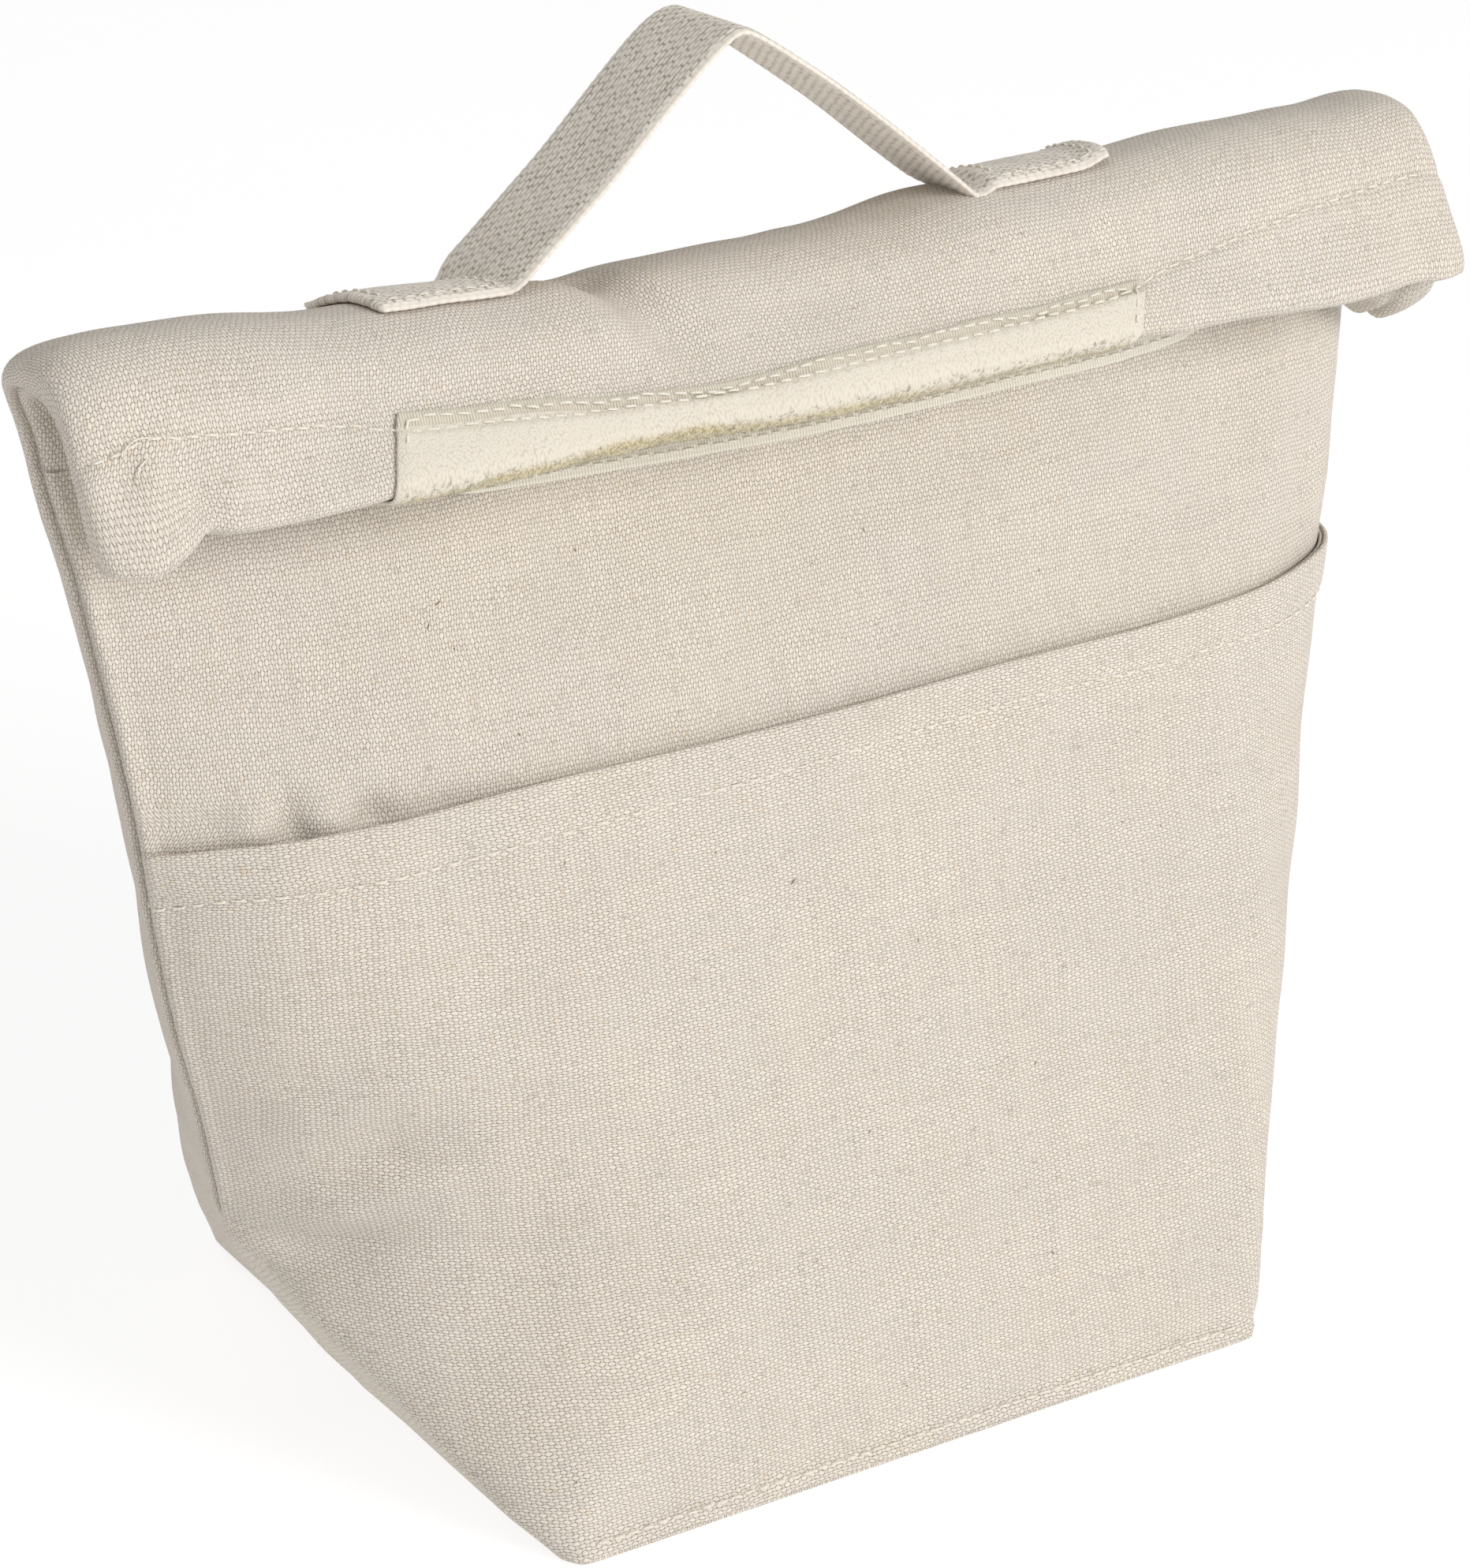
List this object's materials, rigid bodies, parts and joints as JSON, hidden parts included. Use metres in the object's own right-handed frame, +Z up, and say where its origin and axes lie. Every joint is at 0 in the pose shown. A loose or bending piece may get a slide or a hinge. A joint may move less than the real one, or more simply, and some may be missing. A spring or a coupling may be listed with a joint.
{
  "type": "rolltop cooler bag",
  "caption": "Soft insulated canvas cooler bag with a boxed base, front patch pocket, folded rolltop mouth with hook-and-loop closure and a webbing carry handle.",
  "frame": {"origin": "centre of the base, on the floor", "axes": "+X along the roll to the right of the pocket side, -Y the pocket side, +Z up"},
  "size_m": [0.33, 0.164, 0.2965],
  "materials": {
    "canvas": "natural unbleached cotton canvas, plain weave",
    "foam": "closed-cell foam sheet",
    "foil": "metallised film lining",
    "hook": "woven hook tape",
    "loop": "brushed loop tape",
    "webbing": "cotton twill webbing",
    "thread": "sewing thread"
  },
  "bodies": {
    "bag": {"canvas_front": "canvas", "canvas_back": "canvas", "canvas_base": "canvas", "front_pocket": "canvas", "foam_front": "foam", "foam_back": "foam", "foam_base": "foam", "lining_front": "foil", "lining_back": "foil", "lining_base": "foil", "hook_tape": "hook", "pocket_hem_thread": "thread", "base_thread_front": "thread", "base_thread_back": "thread"},
    "roll_top": {"roll_top_outer": "canvas", "roll_top_inner": "canvas", "roll_top_lining_outer": "foil", "roll_top_lining_inner": "foil", "handle_tab_left": "webbing", "handle_tab_right": "webbing"},
    "roll_flap": {"flap_outer": "canvas", "flap_inner": "canvas", "flap_lining_outer": "foil", "flap_lining_inner": "foil", "loop_tape_front": "loop", "mouth_hem_thread": "thread"},
    "roll_mouth": {"mouth_outer": "canvas", "mouth_inner": "canvas", "mouth_lining_outer": "foil", "mouth_lining_inner": "foil", "loop_tape_back": "loop"},
    "handle": {"handle_loop": "webbing"}
  },
  "joints": [
    {"name": "unroll_top", "type": "hinge", "parent": "bag", "child": "roll_top", "pos_m": [0, 0.0116, 0.252], "axis": [-1, 0, 0], "range_deg": [0, 90]},
    {"name": "unroll_flap", "type": "hinge", "parent": "roll_top", "child": "roll_flap", "pos_m": [0, -0.0275, 0.252], "axis": [-1, 0, 0], "range_deg": [0, 71.81]},
    {"name": "unroll_mouth", "type": "hinge", "parent": "roll_flap", "child": "roll_mouth", "pos_m": [0, -0.0256, 0.21612], "axis": [-1, 0, 0], "range_deg": [0, 179]},
    {"name": "handle_swing", "type": "hinge", "parent": "roll_top", "child": "handle", "pos_m": [-0.0115, -0.0075, 0.2558], "axis": [1, 0, 0], "range_deg": [-30, 30]}
  ],
  "couplings": [
    {"joint": "unroll_flap", "follows": "unroll_top", "ratio": 0.79794},
    {"joint": "unroll_mouth", "follows": "unroll_top", "ratio": 1.9889}
  ]
}
